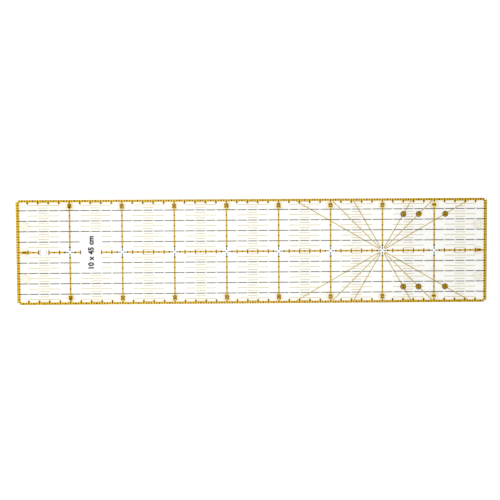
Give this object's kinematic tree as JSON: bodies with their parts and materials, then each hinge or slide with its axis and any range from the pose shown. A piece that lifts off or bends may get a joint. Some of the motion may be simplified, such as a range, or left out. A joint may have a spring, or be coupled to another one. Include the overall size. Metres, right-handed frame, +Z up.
{
  "type": "quilting ruler",
  "caption": "Clear acrylic quilting ruler with a printed centimetre grid, angle lines, a hanging hole and non-slip pads underneath.",
  "frame": {"origin": "on the table, under the middle of the plate's footprint; the pads' undersides are at z = 0", "axes": "+X along the plate towards its zero end, away from the hanging hole; +Y across the plate; +Z up through the plate, out of the face that is read"},
  "size_m": [0.45, 0.1, 0.0038],
  "materials": {
    "clear_acrylic": "polished, clear",
    "grip_silicone": "matt, slightly translucent",
    "yellow_ink": "screen print, satin",
    "ochre_ink": "screen print, satin",
    "black_ink": "screen print, satin"
  },
  "bodies": {
    "root": {"acrylic_plate": "clear_acrylic", "angle_fan_far_side_lower": "ochre_ink", "angle_fan_far_side_upper": "ochre_ink", "angle_fan_zero_side_lower": "ochre_ink", "angle_fan_zero_side_upper": "ochre_ink", "angle_label_lower_30": "yellow_ink", "angle_label_lower_45": "yellow_ink", "angle_label_lower_60": "yellow_ink", "angle_label_upper_30": "yellow_ink", "angle_label_upper_45": "yellow_ink", "angle_label_upper_60": "yellow_ink", "black_grid_lower": "black_ink", "black_grid_upper": "black_ink", "grip_pad_far_end_lower": "grip_silicone", "grip_pad_far_end_middle": "grip_silicone", "grip_pad_far_end_upper": "grip_silicone", "grip_pad_lower_1": "grip_silicone", "grip_pad_lower_2": "grip_silicone", "grip_pad_lower_3": "grip_silicone", "grip_pad_lower_4": "grip_silicone", "grip_pad_lower_5": "grip_silicone", "grip_pad_lower_6": "grip_silicone", "grip_pad_lower_7": "grip_silicone", "grip_pad_lower_8": "grip_silicone", "grip_pad_upper_1": "grip_silicone", "grip_pad_upper_2": "grip_silicone", "grip_pad_upper_3": "grip_silicone", "grip_pad_upper_4": "grip_silicone", "grip_pad_upper_5": "grip_silicone", "grip_pad_upper_6": "grip_silicone", "grip_pad_upper_7": "grip_silicone", "grip_pad_upper_8": "grip_silicone", "grip_pad_zero_end_lower": "grip_silicone", "grip_pad_zero_end_middle": "grip_silicone", "grip_pad_zero_end_upper": "grip_silicone", "yellow_border_and_cross_lines": "yellow_ink", "yellow_centre_line_1": "yellow_ink", "yellow_centre_line_10": "yellow_ink", "yellow_centre_line_11": "yellow_ink", "yellow_centre_line_2": "yellow_ink", "yellow_centre_line_3": "yellow_ink", "yellow_centre_line_4": "yellow_ink", "yellow_centre_line_5": "yellow_ink", "yellow_centre_line_6": "yellow_ink", "yellow_centre_line_7": "yellow_ink", "yellow_centre_line_8": "yellow_ink", "yellow_centre_line_9": "yellow_ink"}
  },
  "joints": []
}
